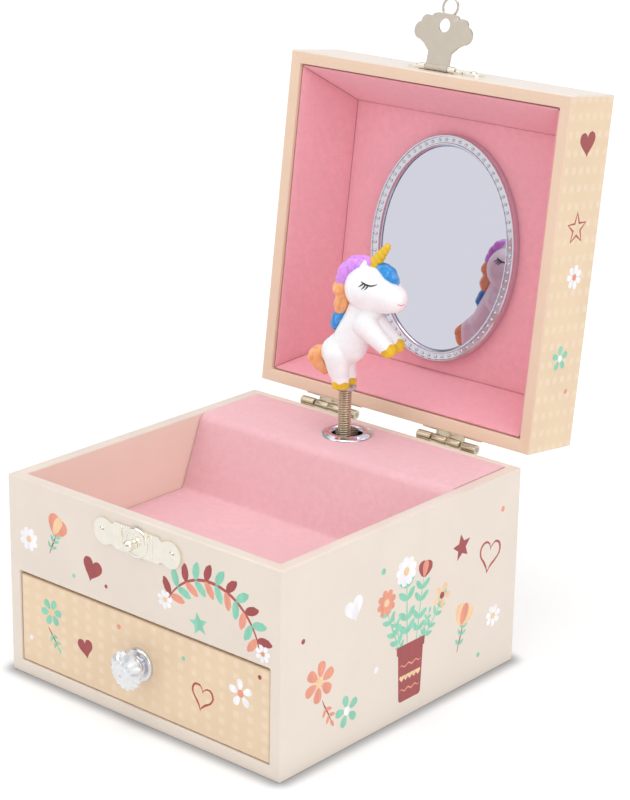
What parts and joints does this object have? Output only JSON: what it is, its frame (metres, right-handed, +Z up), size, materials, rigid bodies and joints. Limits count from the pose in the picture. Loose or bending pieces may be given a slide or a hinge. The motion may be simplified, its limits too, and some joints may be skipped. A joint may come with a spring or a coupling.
{
  "type": "musical jewellery box",
  "caption": "Square hinged jewellery box with felt tray, drawer, oval mirror and hasp, and a wind-up musical movement that turns a unicorn on a bending spring.",
  "frame": {"origin": "centre of the box's underside, on the surface it stands on", "axes": "+X along the front to the right, +Y from the front to the back, +Z up"},
  "size_m": [0.12, 0.1717, 0.216],
  "materials": {
    "cream_paper": "fibreboard wrapped in satin cream paper",
    "inner_paper": "board faced with plain pinkish tan paper",
    "tan_paper": "fibreboard wrapped in satin tan check paper",
    "pink_felt": "flocked pink felt",
    "chrome": "bright chrome plate",
    "pale_nickel": "pale nickel plate, polished",
    "matt_nickel": "matt nickel plate",
    "crystal": "clear faceted crystal",
    "steel": "plain steel",
    "mirror_trim": "silver plated plastic moulding",
    "mirror": "silvered mirror",
    "cast_plate": "die-cast plate",
    "comb_steel": "ground spring steel",
    "brass": "turned brass",
    "spring_steel": "close-wound spring wire",
    "clear_plastic": "translucent plastic",
    "white_vinyl": "soft white vinyl with painted hair, horn and hooves"
  },
  "bodies": {
    "box": {"left_wall": "cream_paper", "right_wall": "cream_paper", "back_wall": "cream_paper", "front_panel": "cream_paper", "bottom_board": "cream_paper", "bay_partition": "inner_paper", "tray_board": "inner_paper", "deck_cleats": "inner_paper", "movement_cover": "inner_paper", "tray_felt": "pink_felt", "eyelet": "chrome", "catch_plate": "pale_nickel", "catch_stud": "pale_nickel", "box_nails": "pale_nickel", "box_hinge_leaves": "pale_nickel", "hinge_pins": "steel", "movement_plate": "cast_plate", "movement_screws": "steel", "comb": "comb_steel", "spring_barrel": "brass", "mainspring": "spring_steel", "governor_bracket": "cast_plate"},
    "drawer": {"drawer_front": "tan_paper", "drawer_sides": "inner_paper", "drawer_back": "inner_paper", "drawer_floor": "inner_paper", "drawer_felt": "pink_felt", "knob_base": "chrome", "knob_crystal": "crystal", "knob_screw": "steel"},
    "lid": {"lid_top_board": "cream_paper", "lid_front_wall": "cream_paper", "lid_back_wall": "tan_paper", "lid_side_walls": "tan_paper", "lid_lining": "pink_felt", "mirror_frame": "mirror_trim", "mirror_glass": "mirror", "hasp_plate": "pale_nickel", "hasp_pin": "steel", "lid_nails": "pale_nickel", "lid_hinge_leaves": "pale_nickel"},
    "hasp": {"hasp_flap": "matt_nickel"},
    "ring": {"pull_ring": "matt_nickel"},
    "cylinder": {"pinned_cylinder": "brass", "cylinder_arbor": "steel", "post_ferrule": "brass", "spring_root": "spring_steel"},
    "winder": {"winding_arbor": "steel", "great_wheel": "brass", "winding_key": "pale_nickel"},
    "governor": {"governor_wheel": "brass"},
    "fly": {"governor_fly": "steel"},
    "coil_1": {"spring_1": "spring_steel", "spring_2": "spring_steel", "spring_3": "spring_steel", "spring_4": "spring_steel"},
    "coil_2": {"spring_5": "spring_steel"},
    "figure": {"figure_disc": "clear_plastic", "unicorn": "white_vinyl"}
  },
  "joints": [
    {"name": "lid_hinge", "type": "hinge", "parent": "box", "child": "lid", "pos_m": [0, 0.0632, 0.07015], "axis": [1, 0, 0], "range_deg": [0, 97]},
    {"name": "hasp_hinge", "type": "hinge", "parent": "lid", "child": "hasp", "pos_m": [0, 0.08486, 0.19282], "axis": [1, 0, 0], "range_deg": [-68, 90]},
    {"name": "ring_swing", "type": "hinge", "parent": "hasp", "child": "ring", "pos_m": [0, 0.09044, 0.20962], "axis": [-1, 0, 0], "range_deg": [-5, 150]},
    {"name": "drawer_slide", "type": "slide", "parent": "box", "child": "drawer", "axis": [0, -1, 0], "range_m": [0, 0.062]},
    {"name": "cylinder_spin", "type": "hinge", "parent": "box", "child": "cylinder", "pos_m": [-0.0058, 0.0466, 0.046], "axis": [0, 0, 1], "continuous": true},
    {"name": "winder_spin", "type": "hinge", "parent": "box", "child": "winder", "pos_m": [-0.0058, 0.055, 0.0191], "axis": [0, 1, 0], "continuous": true},
    {"name": "governor_spin", "type": "hinge", "parent": "box", "child": "governor", "pos_m": [0.0034, 0.0466, 0.06], "axis": [0, 0, 1], "continuous": true},
    {"name": "fly_spin", "type": "hinge", "parent": "box", "child": "fly", "pos_m": [0.009, 0.045, 0.064], "axis": [0, 1, 0], "continuous": true},
    {"name": "coil_bend_1", "type": "hinge", "parent": "box", "child": "coil_1", "pos_m": [-0.0058, 0.0443, 0.0692], "axis": [1, 0, 0], "range_deg": [0, 53]},
    {"name": "coil_bend_2", "type": "hinge", "parent": "coil_1", "child": "coil_2", "pos_m": [-0.0058, 0.0443, 0.08264], "axis": [1, 0, 0], "range_deg": [0, 53]},
    {"name": "figure_spin", "type": "hinge", "parent": "coil_2", "child": "figure", "pos_m": [-0.0058, 0.0466, 0.0872], "axis": [0, 0, 1], "continuous": true}
  ],
  "couplings": [
    {"joint": "coil_bend_1", "follows": "lid_hinge", "ratio": 0.54124},
    {"joint": "coil_bend_2", "follows": "lid_hinge", "ratio": 0.54124},
    {"joint": "figure_spin", "follows": "cylinder_spin", "ratio": 1},
    {"joint": "winder_spin", "follows": "cylinder_spin", "ratio": 0.31579},
    {"joint": "governor_spin", "follows": "cylinder_spin", "ratio": -4.75},
    {"joint": "fly_spin", "follows": "cylinder_spin", "ratio": 85.5}
  ]
}
